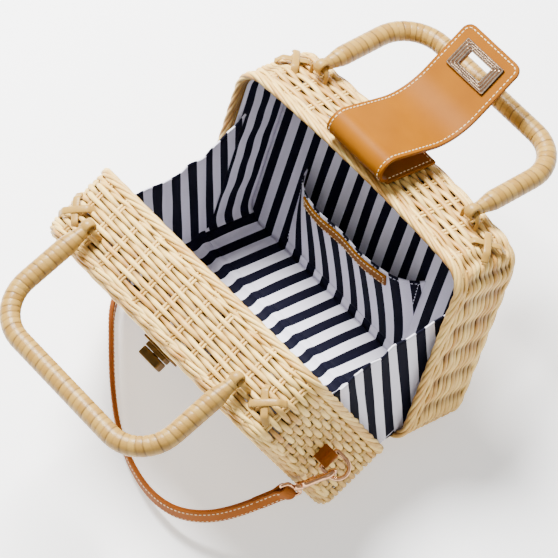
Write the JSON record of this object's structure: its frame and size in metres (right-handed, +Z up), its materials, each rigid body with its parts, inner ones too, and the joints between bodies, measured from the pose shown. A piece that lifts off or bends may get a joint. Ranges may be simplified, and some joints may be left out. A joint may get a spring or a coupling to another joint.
{
  "type": "wicker crossbody bag",
  "caption": "Small hinged wicker box bag, open, with cane-wrapped handles, leather flap and turn lock, striped lining with a pocket, and a clip-on leather strap.",
  "frame": {"origin": "on the table below the middle of the bottom hinge, with the bag standing open", "axes": "+X along the hinge to the bag's right end, -Y towards the front half, +Z up"},
  "size_m": [0.2824, 0.3746, 0.199],
  "materials": {
    "wicker": "woven, dry, slightly glossy",
    "cane": "smooth flat cane",
    "striped_cloth": "navy and white stripes",
    "tan_leather": "smooth, stitched",
    "gold_metal": "polished rose gold",
    "antique_brass": "aged, satin"
  },
  "bodies": {
    "front_half": {"front_basket": "wicker", "front_lining": "striped_cloth", "front_handle_loops": "cane", "front_bindings": "cane", "front_hinge_loops": "cane", "hinge_rod": "cane", "lock_base": "antique_brass", "lock_backing": "antique_brass", "right_tab": "tan_leather", "left_tab": "tan_leather", "left_gusset": "striped_cloth", "right_gusset": "striped_cloth", "strap": "tan_leather", "right_strap_fold": "tan_leather", "left_strap_fold": "tan_leather", "right_swivel": "gold_metal", "left_swivel": "gold_metal"},
    "back_half": {"back_basket": "wicker", "back_lining": "striped_cloth", "back_handle_loops": "cane", "back_bindings": "cane", "back_hinge_loops": "cane", "flap_base": "tan_leather", "pocket": "striped_cloth", "pocket_label": "tan_leather"},
    "flap": {"flap": "tan_leather", "flap_plate": "gold_metal"},
    "front_handle": {"front_handle": "cane"},
    "back_handle": {"back_handle": "cane"},
    "lock_knob": {"lock_knob": "antique_brass"},
    "right_ring": {"right_ring": "gold_metal"},
    "left_ring": {"left_ring": "gold_metal"},
    "right_hook": {"right_hook": "gold_metal"},
    "left_hook": {"left_hook": "gold_metal"},
    "right_gate": {"right_gate": "gold_metal"},
    "left_gate": {"left_gate": "gold_metal"}
  },
  "joints": [
    {"name": "halves_hinge", "type": "hinge", "parent": "front_half", "child": "back_half", "pos_m": [0, 0, 0.01412], "axis": [1, 0, 0], "range_deg": [0, 40.5], "deforming": ["left_gusset", "right_gusset"]},
    {"name": "front_handle_swing", "type": "hinge", "parent": "front_half", "child": "front_handle", "pos_m": [0, -0.0993, 0.17121], "axis": [-1, 0, 0], "range_deg": [0, 90]},
    {"name": "back_handle_swing", "type": "hinge", "parent": "back_half", "child": "back_handle", "pos_m": [0, 0.0993, 0.17121], "axis": [1, 0, 0], "range_deg": [0, 90]},
    {"name": "flap_lift", "type": "hinge", "parent": "back_half", "child": "flap", "pos_m": [0, 0.07273, 0.18865], "axis": [1, 0, 0], "range_deg": [0, 78]},
    {"name": "lock_turn", "type": "hinge", "parent": "front_half", "child": "lock_knob", "pos_m": [0, -0.10805, 0.11636], "axis": [0, -0.9367, -0.3502], "range_deg": [0, 90]},
    {"name": "right_ring_swing", "type": "hinge", "parent": "front_half", "child": "right_ring", "pos_m": [0.1215, -0.0624, 0.08965], "axis": [0, -0.9367, -0.3502], "range_deg": [-7, 7]},
    {"name": "right_hook_turn", "type": "hinge", "parent": "front_half", "child": "right_hook", "pos_m": [0.12466, -0.07323, 0.08078], "axis": [-0.4987, -0.6499, -0.5736], "range_deg": [-9, 9]},
    {"name": "right_gate_open", "type": "hinge", "parent": "right_hook", "child": "right_gate", "pos_m": [0.12025, -0.07287, 0.07437], "axis": [0.8143, -0.1244, -0.567], "range_deg": [0, 16], "stiffness_Nm_per_rad": 0.003, "springref_deg": -11.46},
    {"name": "left_ring_swing", "type": "hinge", "parent": "front_half", "child": "left_ring", "pos_m": [-0.1215, -0.0624, 0.08965], "axis": [0, 0.9367, 0.3502], "range_deg": [-7, 7]},
    {"name": "left_hook_turn", "type": "hinge", "parent": "front_half", "child": "left_hook", "pos_m": [-0.12808, -0.04871, 0.08622], "axis": [0, 0.8241, -0.5664], "range_deg": [-9, 9]},
    {"name": "left_gate_open", "type": "hinge", "parent": "left_hook", "child": "left_gate", "pos_m": [-0.12698, -0.04704, 0.07869], "axis": [-0.9789, -0.1157, -0.1684], "range_deg": [0, 16], "stiffness_Nm_per_rad": 0.003, "springref_deg": -11.46}
  ],
  "couplings": [
    {"joint": "flap_lift", "follows": "back_handle_swing", "ratio": 0.85}
  ]
}
